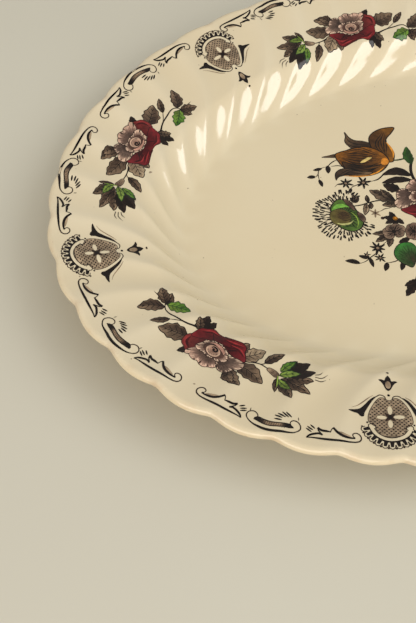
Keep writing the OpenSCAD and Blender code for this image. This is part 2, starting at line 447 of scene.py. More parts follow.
class Art:
    """A flat drawing. Each shape covers the ones before it, and a cut shows the glaze."""

    def __init__(self):
        self.shapes, self.tones, self.filled = [], [], []

    def ring(self, ring, tone, filled=True):
        ring = np.asarray(ring, float)
        area = signed_area(ring)
        if abs(area) < 1e-4:
            return
        self.shapes.append(ring if area > 0 else ring[::-1])
        self.tones.append(tone)
        self.filled.append(filled)

    def fill(self, points, tone, step=0.6):
        self.ring(spline(points, step, closed=True), tone)

    def cut(self, ring):
        self.ring(ring, None, filled=False)

    def dot(self, centre, radius, tone=INK, sides=7, squash=1.0):
        self.ring(circle(centre, radius, sides, squash), tone, filled=False)

    def line(self, points, width, tone=INK, ends=(0.4, 0.4), step=0.5, closed=False):
        """A stroke, as wide as width in its middle and that times ends where it starts and stops."""
        path = spline(points, step, closed)
        if closed:
            path = np.vstack([path, path[:1]])
        if len(path) < 2:
            return
        t = np.linspace(0, 1, len(path))
        first = ends[0] + (1 - ends[0]) * smooth(t * 2.5)
        last = ends[1] + (1 - ends[1]) * smooth((1 - t) * 2.5)
        swell = first * last
        side = turn_left(path) * (width / 2 * swell)[:, None]
        left, right = path + side, path - side
        for k in range(len(path) - 1):
            self.ring([right[k], right[k + 1], left[k + 1], left[k]], tone, filled=False)

    def add(self, other, move=(0, 0), turn=0.0, size=1.0, flip=False):
        """Another drawing, flipped left to right, scaled, turned and moved."""
        c, s = math.cos(math.radians(turn)) * size, math.sin(math.radians(turn)) * size
        for ring, tone, filled in zip(other.shapes, other.tones, other.filled):
            ring = ring * (-1, 1) if flip else ring
            placed = ring @ np.array([[c, s], [-s, c]]) + np.array(move)
            back = placed_tone(tone, move, c, s, size, flip)
            self.ring(placed, back, filled)

    def triangles(self):
        """(points, triangles, colours at each triangle's corners) of what shows."""
        verts, faces = [], []
        for ring in self.shapes:
            start = len(verts)
            verts += [Vector(p) for p in ring]
            faces.append(list(range(start, start + len(ring))))
        every = np.vstack(self.shapes)
        low, high = every.min(0), every.max(0)
        rows = np.arange(low[1], high[1], PRINT_GRID * 0.866)
        across = np.arange(low[0], high[0], PRINT_GRID)
        grid = np.array([(x + PRINT_GRID / 2 * (k % 2), y) for k, y in enumerate(rows) for x in across])
        wanted = np.zeros(len(grid), bool)
        for ring, filled in zip(self.shapes, self.filled):
            if filled:
                wanted |= inside(grid, ring)
        verts += [Vector(p) for p in grid[wanted]]
        points, _, tris, _, _, owners = delaunay_2d_cdt(verts, [], faces, 1, 1e-4, True)
        points = np.array([tuple(p) for p in points])
        top = np.array([max(own) if own else -1 for own in owners])
        tris = np.array(tris)
        shown = np.array([k >= 0 and self.tones[k] is not None for k in top])
        tris, top = tris[shown], top[shown]
        colours = np.zeros((len(tris), 3, 3))
        for k in np.unique(top):
            mine = top == k
            tone = self.tones[k]
            corners = points[tris[mine]]
            colours[mine] = tone(corners) if callable(tone) else tone
        return points, tris, linear(colours)


def placed_tone(tone, move, c, s, size, flip):
    """A tone that reads its own drawing's coordinates once that drawing has been placed in another."""
    if not callable(tone):
        return tone
    back = np.array([[c, -s], [s, c]]) / size**2
    mirror = np.array([-1 if flip else 1, 1])
    return lambda p: tone(((p - np.array(move)) @ back) * mirror)


def from_point(centre, near, far, reach, power=1.0):
    """A tone that runs from one colour at a point to another at a distance from it."""
    def tone(p):
        share = np.clip(np.linalg.norm(p - np.array(centre), axis=-1) / reach, 0, 1) ** power
        return mixed(near, far, share)
    return tone


def along(start, end, first, last, power=1.0):
    """A tone that runs from one colour at start to another at end."""
    axis = np.array(end, float) - start

    def tone(p):
        share = np.clip((p - np.array(start)) @ axis / (axis @ axis), 0, 1) ** power
        return mixed(first, last, share)
    return tone


def leaf(art, base, tip, width, bend=0.0, light=WASH, dark=SEPIA, teeth=0.0, veins=5, edge=INK):
    """A leaf with a midrib, side veins and, if it has teeth, a serrated edge."""
    base, tip = np.array(base, float), np.array(tip, float)
    axis = tip - base
    length = float(np.linalg.norm(axis))
    axis /= length
    side = np.array([-axis[1], axis[0]])

    def at(t, across):
        return base + axis * length * t + side * (across * width / 2 + bend * math.sin(math.pi * t))

    stops = np.linspace(0, 1, 9)
    belly = np.sin(math.pi * stops**0.85) ** 0.85
    count = len(stops)
    spread = list(enumerate(zip(stops, belly)))
    left = [at(t, b * (1 + (teeth if k % 2 else -teeth))) for k, (t, b) in spread]
    right = [at(t, -b * (1 + (teeth if k % 2 == 0 else -teeth))) for k, (t, b) in spread]
    outline = [left[0]] + left[1:count - 1] + [tip] + right[1:count - 1][::-1]
    art.fill(outline, along(base, tip, dark, light, 0.7), 0.55)
    shade = [at(0.02, 0)] + [at(t, -0.12 * b) for t, b in zip(stops, belly)][1:-1] + [at(0.97, 0)]
    lower = [right[k] * 0.8 + at(stops[k], 0) * 0.2 for k in range(count - 2, 0, -1)]
    art.fill(shade + lower, along(base, tip, mixed(dark, INK, 0.35), mixed(light, dark, 0.5), 0.8), 0.7)
    art.line([at(t, 0) for t in (0, 0.3, 0.6, 0.95)], 0.32, edge, (1.0, 0.3))
    for k in range(1, veins):
        t = k / (veins + 0.5)
        reach = float(np.sin(math.pi * min(0.97, t + 0.16) ** 0.85)) * 0.72
        for sign in (1, -1):
            art.line([at(t, 0), at(t + 0.16, sign * reach)], 0.26, edge, (0.9, 0.3), 0.9)
    art.line(outline + [outline[0]], LEAF_EDGE, edge, (0.9, 0.9), 0.8)
    return at


def leaves(art, light, dark, rows):
    """Leaves of one tone, each from its base, tip, width and bend, and then its teeth and veins if given."""
    for base, tip, width, bend, *rest in rows:
        leaf(art, base, tip, width, bend, light, dark, *rest)


def petal(art, points, focus, near, far, reach, power=1.0, edge=INK, edge_width=0.34, rays=0,
    ray_tone=None):
    """A petal shaded from a focus outward, with fine engraved rays and an inked edge."""
    art.fill(points, from_point(focus, near, far, reach, power))
    ring = spline(points, 0.6, closed=True)
    focus = np.array(focus, float)
    for k in range(rays):
        end = ring[int((k + 0.5) * len(ring) / rays) % len(ring)]
        begin = focus + (end - focus) * 0.42
        stop = focus + (end - focus) * (0.74 + 0.12 * (k % 3) / 2)
        if inside(begin[None], ring)[0] and inside(stop[None], ring)[0]:
            art.line([begin, (begin + stop) / 2, stop], RAY_WIDTH, ray_tone or near, (1.0, 0.2), 0.9)
    art.line(points, edge_width, edge, (1, 1), 0.7, closed=True)


def ruffle(art, points, focus, pale):
    """The lit rim of a petal: short pale strokes that point at its focus, parted by dark notches."""
    ring = spline(points, 0.85, closed=True)
    focus = np.array(focus, float)
    for k, end in enumerate(ring):
        inner = end + (focus - end) * (0.13 + 0.05 * (k % 3))
        near = end + (focus - end) * 0.03
        art.line([near, inner], 0.62, pale if k % 4 else SEPIA, (0.9, 0.2), 0.9)
    art.line(points, 0.26, SEPIA, (1, 1), 0.7, closed=True)


def grain_lines(art, start, end, bows, width, tone=INK):
    """Engraved lines that run the length of a petal, each bowed sideways by its own amount."""
    start, end = np.array(start, float), np.array(end, float)
    axis = end - start
    side = np.array([-axis[1], axis[0]]) / np.linalg.norm(axis)
    for k, bow in enumerate(bows):
        first, last = start + axis * (0.06 + 0.05 * (k % 3)), end - axis * (0.08 + 0.06 * ((k + 1) % 3))
        middle = (first + last) / 2 + side * bow
        art.line([first + side * bow * 0.35, middle, last + side * bow * 0.35], width, tone, (0.3, 0.3),
            0.9)


def strokes(art, pairs, width, tone=INK):
    for start, end in pairs:
        art.line([start, end], width, tone, (0.35, 0.35), 0.8)


# ---------------------------------------------------------------- border scrolls
def leaf_scroll():
    """A long scroll with a curl at its left and a split leaf's tips at its right."""
    art = Art()
    wash = [(-5.6, -1.9), (-3.6, -1.9), (-1.8, -2.3), (-0.4, -3.1), (-1.6, -3.3), (-3.4, -2.9),
        (-5.0, -2.4)]
    art.fill(wash, PALE_WASH)
    art.line([(9.5, 1.1), (8.2, 0.8), (6, 0.68), (3, 0.62), (0, 0.5), (-3, 0.3), (-5, 0.12),
        (-7, -0.25)], 0.9, INK, (0.45, 0.6))
    art.line([(-6.9, -0.22), (-8.2, -0.9), (-8.75, -2.0), (-8.45, -3.1), (-7.7, -3.8), (-6.8, -4.0),
        (-6.0, -3.6), (-5.7, -2.9), (-6.1, -2.2)], 0.46, SEPIA, (1.2, 0.8), 0.4)
    art.dot((-6.35, -1.85), 0.45)
    art.line([(-6.5, -1.8), (-5.2, -1.55), (-3.6, -1.6), (-2, -2.0), (-0.6, -2.85), (0.4, -3.9),
        (1.0, -4.6)], 1.0, INK, (0.6, 0.75), 0.45)
    art.line([(1.0, -4.5), (1.5, -3.6), (1.75, -2.55)], 0.35, INK, (1, 0.8))
    art.line([(1.6, -2.6), (3.2, -2.75), (4.8, -2.85), (6.2, -3.65)], 0.95, INK, (0.5, 0.9))
    art.line([(6.1, -3.6), (5.8, -2.6), (5.2, -1.9), (4.3, -1.05)], 0.45, INK, (1, 1))
    art.line([(4.2, -0.95), (5.6, -1.35), (7.2, -0.85), (8.7, 0.05), (9.5, 1.1)], 0.85, INK, (0.8, 0.5))
    strokes(art, [((8.0, -1.5), (10.0, -2.7)), ((7.6, -2.35), (9.7, -3.55)), ((7.0, -3.1),
        (8.7, -4.4))], 0.62)
    return art


def c_scroll():
    """A C scroll with two curls, a hatched band inside it, and a fan of strokes at its left."""
    art = Art()
    upper = [(-7.5, -1.2), (-6, -0.65), (-4, -0.25), (-2, 0.35), (0, 0.85), (2, 0.9), (4, 0.45),
        (6.3, -0.25)]
    lower = [(6.2, -0.6), (5, -1.45), (3, -1.05), (1, -0.8), (-1, -0.95), (-3, -1.45), (-5, -2.0),
        (-6.3, -2.05)]

    def band(p):
        return mixed(WASH, INK, smooth((np.abs(p[..., 0] + 0.6) - 2.0) / 2.6))
    art.fill(upper + lower, band)
    for k in range(12):
        x = -4.6 + 0.75 * k
        art.line([(x, -1.5 + 0.75 * math.cos((x - 0.6) / 4)),
            (x + 0.15, -0.2 + 0.95 * math.cos((x - 1) / 5))], 0.2, SEPIA, (0.8, 0.8))
    art.line(upper, 0.42, INK, (1, 1))
    art.line(lower, 0.42, INK, (1, 1))
    rim = [(-9.3, -0.5), (-8, 0.65), (-6, 1.35), (-4, 1.8), (-2, 2.4), (0, 2.75), (2, 2.75), (4, 2.4),
        (6, 1.85), (7.5, 1.05), (8.6, 0.1)]
    art.line(rim, 1.05, INK, (0.4, 0.35))
    art.line([(-9.3, -0.5), (-9.75, -1.5), (-9.5, -2.7), (-8.7, -3.7), (-7.6, -4.15), (-6.6, -3.95),
        (-5.95, -3.2), (-6.0, -2.1)], 0.42, SEPIA, (1.1, 0.8), 0.4)
    art.line([(8.6, 0.1), (9.1, -1.0), (8.9, -2.2), (8.1, -3.0), (7, -3.3), (5.9, -2.8), (5.25, -1.9),
        (5.35, -1.1)], 0.42, SEPIA, (1.1, 0.8), 0.4)
    fan = [((-2.9, -2.7), (-0.3, -2.5)), ((-2.8, -3.7), (-0.1, -3.95)), ((-3.8, -4.4), (-0.9, -5.0)),
        ((-4.8, -4.75), (-2.2, -6.05)), ((-5.8, -5.15), (-3.4, -6.5))]
    strokes(art, fan, 0.7)
    strokes(art, [((-8.35, -4.75), (-7.9, -5.95)), ((8.3, -3.05), (8.4, -4.3))], 0.36, SEPIA)
    return art


# ---------------------------------------------------------------- cartouche
def cartouche():
    """A diapered shield with four petals, under a studded arch, with two horns and a bud below."""
    art = Art()
    half = [(0, 8.3), (2.5, 8.0), (4.3, 7.1), (5.0, 5.7), (4.9, 4.4), (6.2, 3.6), (7.4, 2.4), (7.6, 0.6),
        (7.0, -2), (5.8, -4.6), (4.3, -7.1), (2.9, -8.3), (1.5, -8.2), (0.6, -7.4)]
    shield = half + [(-x, y) for x, y in half[:0:-1]]
    art.fill(shield, from_point((0, 0), (122, 104, 84), (164, 144, 118), 8.0), 0.7)
    outline = spline(shield, 0.7, closed=True)
    pitch = 1.5
    for row in range(-12, 13):
        for col in range(-6, 7):
            p = np.array([(col + 0.5 * (row % 2)) * pitch, row * pitch / 2])
            if inside((p * 1.05)[None], outline)[0]:
                art.dot(p, 0.4, INK, 6, 0.72)
    for turn in (45, 135, 225, 315):
        a = math.radians(turn)
        art.line([(0, 0), (2.2 * math.cos(a), 2.2 * math.sin(a))], 1.25, SEPIA, (1.0, 0.3))
    art.dot((0, 0), 0.85, INK)
    petals = (
        ((0.1, 2.9), (0.85, 1.7)),
        ((-0.05, -3.0), (0.85, 1.9)),
        ((-3.0, -0.1), (1.9, 0.85)),
        ((2.9, 0.2), (1.75, 0.85)),
    )
    a = np.arange(14) * 2 * math.pi / 14
    for (x, y), (rx, ry) in petals:
        art.cut(np.column_stack([x + rx * np.cos(a), y + ry * np.sin(a)]))
    art.line(shield, 0.24, SEPIA, (1, 1), 0.7, closed=True)
    arch(art)
    for side in (1, -1):
        horn(art, side)
        art.dot((side * 7.95, 2.8), 0.4, SEPIA)
    art.dot((0, -9.6), 0.52)
    bud(art)
    return art


def arch(art):
    """The double line over the shield, its two curls, and the fan of studs."""
    hub = np.array([0, 2.6])

    def at(angle, radius):
        a = math.radians(angle)
        return hub + radius * np.array([math.cos(a), math.sin(a)])
    sweep = range(16, 165, 8)
    art.line([at(a, 7.75) for a in sweep], 0.68, INK, (0.6, 0.6), 0.7)
    art.line([at(a, 6.1) for a in range(24, 157, 8)], 0.36, SEPIA, (0.8, 0.8), 0.7)
    for side in (1, -1):
        curl = [(7.5, 4.7), (7.6, 3.8), (6.8, 3.2), (5.8, 3.3), (5.2, 4.0), (5.2, 4.9), (5.7, 5.3)]
        art.line([(side * x, y) for x, y in curl], 0.32, SEPIA, (1, 1), 0.4)
    studs = 11
    for k in range(studs):
        a = 19 + k * 142 / (studs - 1)
        width = 5.6
        art.ring([at(a - width * 0.9, 8.0), at(a + width * 0.9, 8.0), at(a + width * 0.5, 9.9),
            at(a - width * 0.5, 9.9)], INK, filled=False)
        rim = [at(a - width * 1.15, 9.0), at(a - width, 10.15), at(a, 10.75), at(a + width, 10.15),
            at(a + width * 1.15, 9.0)]
        art.line(rim, 0.34, SEPIA, (0.8, 0.8), 0.5)
        art.dot(at(a + 7.1, 10.5), 0.42, SEPIA, 6)
    art.dot(at(12, 10.0), 0.4, SEPIA, 6)


def horn(art, side):
    upper = [(14.4, -1.5), (12.8, -0.75), (11.2, -0.45), (10.5, 0.3), (9.7, 0.7), (8.95, 0.3),
        (8.8, -0.9), (8.1, -2.4), (6.8, -4.9), (5.3, -7.3), (4.2, -8.6)]
    lower = [(5.2, -8.3), (6.8, -6.9), (8.5, -4.7), (10.3, -2.7), (12.2, -1.95)]
    art.fill([(side * x, y) for x, y in upper + lower], INK, 0.6)
    art.line([(side * x, y) for x, y in ((13.2, -2.7), (11.2, -3.7), (9.2, -5.5), (7.1, -7.6),
        (5.6, -8.8))], 0.36, WASH, (0.3, 0.4))
    hook = [(4.4, -8.5), (3.3, -9.35), (2.1, -9.3), (1.3, -8.6), (1.15, -7.6)]
    art.line([(side * x, y) for x, y in hook], 0.36, SEPIA, (1, 0.6), 0.4)


def bud(art):
    half = [(0, -11.5), (1.0, -12.4), (1.7, -13.9), (2.6, -15.1), (3.5, -15.75), (2.3, -16.1),
        (1.25, -15.8), (0.95, -16.9), (0.1, -18.0)]
    art.fill(half + [(-x, y) for x, y in half[:0:-1]], INK, 0.6)
    art.ring(circle((0, -14.1), 1.0, 12, 1.6), along((0, -16), (0, -12), WASH, PALE_WASH))
    art.dot((0, -19.3), 0.55, SEPIA, 8, 0.7)


# ---------------------------------------------------------------- rose spray
def crimson_petals(art, heart):
    """The rose's outer petals at its right and below, with their folds."""
    left_bottom = [(-12.4, -0.4), (-11.6, -2.8), (-10.2, -4.6), (-9.6, -6.6), (-7.6, -7.6), (-5, -7.0),
        (-2.6, -6.4), (-0.5, -5.9), (-1.5, -3), (-5, -1), (-9, -0.3)]
    petal(art, left_bottom, heart, DEEP_CRIMSON, CRIMSON, 12.5, 1.3, DEEP_CRIMSON, 0.35, 31, DEEP_CRIMSON)
    right = [(5.8, 8.2), (7.8, 7.3), (9.2, 6.1), (10.9, 4.9), (11.5, 2.9), (11.2, 0.9), (9.9, -0.8),
        (6, -2), (4, 0), (5.5, 4)]
    petal(art, right, heart, DEEP_CRIMSON, (130, 46, 42), 12, 1.3, DEEP_CRIMSON, 0.25, 21, DEEP_CRIMSON)
    bottom = [(-4.8, -3.2), (-3.6, -5.4), (-1, -5.9), (1.6, -6.2), (4.3, -7.2), (6.4, -6.0), (8.6, -4.6),
        (9.6, -2.2), (9.7, 0.2), (6, -0.5), (2, -2), (-2, -2.5)]
    petal(art, bottom, heart, DEEP_CRIMSON, CRIMSON, 11, 1.2, DEEP_CRIMSON, 0.25, 27, DEEP_CRIMSON)
    folds = (
        [(-10.6, -2.6), (-7.6, -4.4), (-4.2, -4.0)],
        [(-8.0, -6.2), (-5.0, -5.4), (-1.6, -4.6)],
        [(1.0, -5.2), (4.2, -5.6), (7.4, -3.6)],
        [(7.4, 5.6), (9.6, 3.6), (9.6, 0.8)],
    )
    for fold in folds:
        art.line(fold, 1.3, (66, 9, 14), (0.3, 0.2))
        art.line([(x * 1.07, y * 1.07) for x, y in fold], 0.6, (150, 46, 46), (0.3, 0.2))


def rose(art):
    """A full-blown rose, pale above and crimson below."""
    heart = (-0.8, 1.5)
    dark = (58, 44, 38)
    crimson_petals(art, heart)
    back = [(-5.2, 6.4), (-4.4, 8.2), (-2.7, 8.9), (-1.3, 9.9), (0.5, 9.7), (1.7, 9.0), (3.0, 9.5),
        (4.6, 9.1), (5.4, 8.5), (6.8, 8.8), (7.6, 7.8), (7.2, 6.4), (5, 4.4), (0, 4.0), (-4, 4.6)]
    petal(art, back, (0, 2.5), dark, BLUSH, 7.6, 2.2, SEPIA, 0.24, 19, (96, 74, 64))
    left = [(-13.2, 2.2), (-12.7, 3.7), (-11, 4.6), (-10.2, 6.1), (-8.9, 7.6), (-6.9, 8.0), (-5.2, 7.2),
        (-4.0, 5.6), (-4.2, 3.2), (-6.2, 0.4), (-9, -0.5), (-11.7, -0.2), (-13, 0.8)]
    petal(art, left, (-4.6, 3.8), dark, (206, 172, 148), 8.6, 2.0, SEPIA, 0.24, 17, (96, 76, 66))
    ruffle(art, back, (0, 2.5), (214, 180, 156))
    ruffle(art, left, (-4.6, 3.8), (220, 190, 164))
    cup = [(-6.9, 2.1), (-6.5, 3.5), (-5.0, 4.2), (-3.9, 5.0), (-2.4, 4.7), (-1.0, 5.1), (0.6, 5.2),
        (2.2, 4.6), (3.8, 4.9), (5.3, 4.2), (5.9, 3.0), (5.3, 1.7), (4.6, 0.6), (4.1, -0.8), (2.6, -1.6),
        (0.9, -2.3), (-1.2, -1.9), (-3.2, -2.0), (-4.7, -1.2), (-5.8, -0.4), (-6.2, 0.9)]
    petal(art, cup, heart, dark, (212, 176, 152), 6.0, 2.6, SEPIA, 0.26, 23, (110, 84, 72))
    ruffle(art, cup, heart, (224, 194, 168))
    art.ring(circle((-1.0, 1.7), 4.1, 20, 0.66), from_point(heart, (40, 28, 24), (88, 62, 52), 4.2))
    fold = [(-4.6, 1.2), (-3.4, 0.4), (-1.6, -0.3), (0.4, -0.7), (2.2, -0.3), (1.6, -1.2), (-0.6, -1.7),
        (-3.0, -1.3), (-4.6, -0.1)]
    petal(art, fold, (-1, 1), (150, 104, 92), (206, 160, 138), 4, 1, SEPIA, 0.2)
    inner = from_point((-0.7, 1.4), (120, 84, 72), (208, 176, 150), 2.9)
    art.ring(circle((-0.7, 1.9), 2.7, 16, 0.82), inner)
    for k in range(9):
        a = math.radians(8 + k * 22)
        art.dot((-0.7 + 1.85 * math.cos(a), 2.2 + 1.2 * math.sin(a)), 0.22, SEPIA, 5)
    swirl = [(0.5, 1.0), (-0.1, 0.3), (-1.2, 0.3), (-1.9, 0.9), (-1.6, 1.6), (-0.7, 1.75), (-0.3, 1.2),
        (-0.9, 0.9)]
    art.line(swirl, 0.75, INK, (0.6, 0.8), 0.4)
    art.line([(2.6, 3.2), (3.2, 1.8), (2.7, 0.4), (1.6, -0.4)], 0.3, DEEP_CRIMSON, (0.4, 0.4))


def rose_spray():
    """A rose with leaves on both sides, a budding twig at the right and a leaf cluster at the left."""
    art = Art()
    art.line([(8.5, -4.2), (11, -4.1), (13.5, -3.4), (16, -3.0), (19, -3.1), (21.5, -3.2), (23.6, -3.9),
        (24.9, -5.2), (25.7, -6.6)], 0.62, INK, (1.3, 0.5))
    art.line([(15.2, -3.0), (17.2, -2.2), (19.0, -1.2), (20.2, -0.5)], 0.34, SEPIA)
    art.line([(-12.0, -0.8), (-14.4, -1.9), (-16.6, -2.6), (-18.6, -2.8),
        (-20.8, -2.8)], 0.5, INK, (0.8, 0.8))
    art.line([(-17.6, -2.8), (-18.6, -3.6), (-18.9, -4.6)], 0.34, SEPIA)
    leaves(art, WASH, SEPIA, (
        ((-8.6, 4.6), (-16.2, 9.6), 5.4, -1.3, 0.12),
        ((-9.8, 6.0), (-13.6, 9.9), 4.4, -1.2, 0.1, 3),
        ((-10.5, 1.6), (-22.2, 3.9), 6.6, 0.4, 0.1),
    ))
    leaf(art, (-9.6, -1.4), (-16.1, -9.4), 6.4, -0.4, PALE_WASH, WASH, 0.12)
    leaves(art, WASH, SEPIA, (
        ((-8.2, -2.6), (-9.6, -8.9), 4.4, 0.4, 0.12, 3),
        ((10.0, 1.6), (21.1, 4.7), 7.0, -0.5, 0.12),
    ))
    leaves(art, SEPIA, INK, (
        ((6.4, 6.0), (9.9, 9.3), 2.8, 0.0, 0.1, 3),
        ((7.2, -3.4), (5.4, -10.2), 3.4, 0.0, 0.2, 4),
        ((8.0, -3.4), (9.0, -11.2), 3.8, 0.2, 0.18, 4),
    ))
    leaf(art, (8.8, -3.6), (11.6, -8.6), 3.2, -0.2, WASH, SEPIA, 0.18, 4)
    rose(art)
    leaves(art, WASH, SEPIA, (
        ((19.8, -0.9), (25.3, 3.9), 2.7, 0.2, 0.08, 4),
        ((24.9, -5.1), (32.7, 1.4), 5.0, -0.9, 0.12),
        ((25.0, -6.2), (26.0, -11.6), 3.0, -0.3, 0.1, 3),
        ((25.2, -6.6), (30.6, -11.6), 4.2, 0.3, 0.14),
    ))
    art.line([(27.2, -6.6), (29.2, -7.6), (31.9, -8.2)], 0.4, SEPIA, (0.9, 0.2))
    leaf(art, (24.7, -6.3), (16.0, -8.8), 4.9, 0.4, LEAF_GREEN, LIME, 0.16, 5, DARK_GREEN)
    leaf(art, (-18.7, -4.0), (-22.6, -11.8), 3.3, 0.5, WASH, SEPIA, 0.08, 4)
    calyx = [(-20.5, -2.3), (-22.2, -1.7), (-24.6, -1.2), (-25.3, -2.2), (-24.8, -3.4), (-22.8, -3.8),
        (-20.8, -3.4)]
    petal(art, calyx, (-25, -2.6), (92, 74, 60), (180, 156, 126), 5, 1, SEPIA, 0.26, 5)
    cluster(art)
    return art


def cluster(art):
    """Leaves that spread from the end of the left stem, green where they meet."""
    root = (-25.2, -2.4)
    leaf(art, (-25.4, -1.6), (-27.6, 4.5), 2.0, -0.2, WASH, SEPIA, 0.08, 3)
    leaf(art, (-25.8, -0.8), (-33.8, 3.8), 4.4, 0.3, WASH, INK, 0.1)
    leaves(art, WASH, SEPIA, (
        ((-26.6, -1.8), (-38.4, -1.6), 4.4, 0.2, 0.12),
        ((-28.5, -2.6), (-36.8, -7.0), 4.4, 0.2, 0.14),
    ))
    leaves(art, SEPIA, INK, (
        ((-28.5, -4.4), (-35.6, -10.9), 4.0, 0.2, 0.12),
        ((-27.6, -5.6), (-32.0, -13.8), 4.2, 0.2, 0.12),
    ))
    leaf(art, (-26.6, -6.6), (-27.7, -12.0), 3.0, 0.3, DARK_GREEN, INK, 0.1, 4)
    leaf(art, (-26.0, -1.0), (-31.6, 0.6), 2.7, -0.3, (96, 112, 48), LIME, 0.1, 3, DARK_GREEN)
    leaf(art, (-25.4, -2.8), (-31.4, -7.6), 3.0, 0.5, (118, 140, 66), LIME, 0.1, 3, DARK_GREEN)
    leaf(art, (-25.0, -4.6), (-27.3, -11.4), 2.7, 0.4, LEAF_GREEN, LIME, 0.1, 3, DARK_GREEN)
    art.line([root, (-26.2, 0.0), (-27.2, 2.2)], 0.4, LIME, (1, 0.3))
    hairs = (
        ((-36.9, -7.9), (-39.0, -8.6), (-40.2, -10.3)),
        ((-36.5, -8.9), (-38.6, -10.0), (-39.7, -12.6)),
        ((-36.0, -9.8), (-37.2, -10.8), (-37.7, -12.4)),
    )
    for hair in hairs:
        art.line(hair, 0.34, SEPIA, (0.9, 0.2))


# ---------------------------------------------------------------- centre bouquet
def tulip():
    """A full tulip lying on its side, mouth to the upper left."""
    art = Art()
    brown, pale = (40, 28, 20), (112, 88, 62)
    back = [(-27.5, 46.8), (-28.0, 44.2), (-29.3, 41.6), (-28.8, 39.0), (-26.8, 36.4), (-20, 35.6),
        (-18.6, 37.2), (-21.5, 39.6), (-24.8, 41.0), (-26.6, 43.2)]
    petal(art, back, (-22, 36), brown, pale, 11, 1, INK, 0.4)
    art.line([(-21, 37.4), (-25, 38.9), (-27.6, 41.4), (-27.8, 44.6)], 0.42)
    art.line([(-22, 36.4), (-26.4, 37.6), (-28.4, 39.6), (-28.6, 41.2)], 0.42)
    right = [(-19.4, 35), (-19.0, 38.8), (-17.9, 41.4), (-15.4, 43.4), (-12, 44.5), (-8.5, 44.6),
        (-5.3, 43.8), (-7.6, 41.2), (-10.0, 39.4), (-11.6, 37.8), (-12.0, 36), (-11.2, 33), (-11.0, 30),
        (-12, 27), (-14, 25), (-20, 28)]
    petal(art, right, (-17, 38), (70, 44, 20), OCHRE, 14, 1.4, INK, 0.5)
    grain_lines(art, (-15.2, 28), (-9.4, 43.6), (4.6, 3.4, 2.2, 1.0, -0.2), 0.42)
    art.line([(-11.9, 36.4), (-11.3, 33.4), (-11.2, 30), (-12.3, 27.2)], 0.9, ORANGE, (0.4, 0.4))
    tip = [(-42.2, 35.4), (-39.4, 35.5), (-36, 35.6), (-33, 34.6), (-35, 33.4), (-38.4, 34.2)]
    petal(art, tip, (-34, 34.5), brown, pale, 8, 1, INK, 0.26)
    body = [(-36.3, 35.0), (-33.6, 36.2), (-30, 36.4), (-26, 36.9), (-22, 36.4), (-18, 33.8),
        (-15.2, 29.8), (-14.8, 26.2), (-17, 23.2), (-21, 20.9), (-26, 20.3), (-30.5, 21.8),
        (-34.2, 25.8), (-35.9, 30)]
    petal(art, body, (-27, 27.5), (70, 44, 18), (146, 90, 24), 12, 1.2, INK, 0.5)
    grain_lines(art, (-36, 34.6), (-15.4, 27.4), (5.6, 4.4, 3.2, 2.0, 0.8, -0.6, -2.2, -3.8, -5.4, -7.0),
        0.46)
    under = [(-34.6, 30.6), (-30.6, 28.0), (-25, 25.4), (-19.5, 24.6), (-15.6, 26.0), (-17.4, 22.9),
        (-21, 20.9), (-26, 20.3), (-30.5, 21.6), (-34.2, 25.6)]
    petal(art, under, (-32, 25), brown, (128, 80, 24), 17, 1.1, INK, 0.5)
    grain_lines(art, (-34.4, 29.0), (-16.4, 24.8), (-1.2, -2.2, -3.2, -4.2, -5.2), 0.46)
    art.line([(-29.5, 21.6), (-26, 20.7), (-22, 21.1), (-18.4, 23)], 0.7, ORANGE, (0.3, 0.3))
    art.fill([(-27.2, 28.2), (-25, 29.5), (-22.8, 30.1), (-21.3, 29.6), (-23.5, 28.5),
        (-26, 27.8)], (226, 200, 124))
    art.fill([(-17.6, 27.6), (-15.9, 27.8), (-14.9, 26.2), (-16.2, 24.2), (-18.6, 24.8)], (204, 130, 42))
    low = [(-40.6, 21.4), (-40.3, 23.7), (-39.2, 25.6), (-36.6, 26.8), (-33, 26.2), (-29, 23.8),
        (-24, 21.5), (-28, 20.6), (-32, 21.4), (-35, 22.9), (-38, 23.1), (-39.8, 22.4)]
    petal(art, low, (-38, 22), brown, pale, 12, 1, INK, 0.4)
    grain_lines(art, (-39.8, 22.6), (-26, 21.4), (1.0, 1.8, 2.6, 3.4), 0.4)
    art.line([(-36.5, 22.9), (-33, 21.7), (-29, 20.6), (-25, 20.4)], 0.6, ORANGE, (0.3, 0.3))
    return art


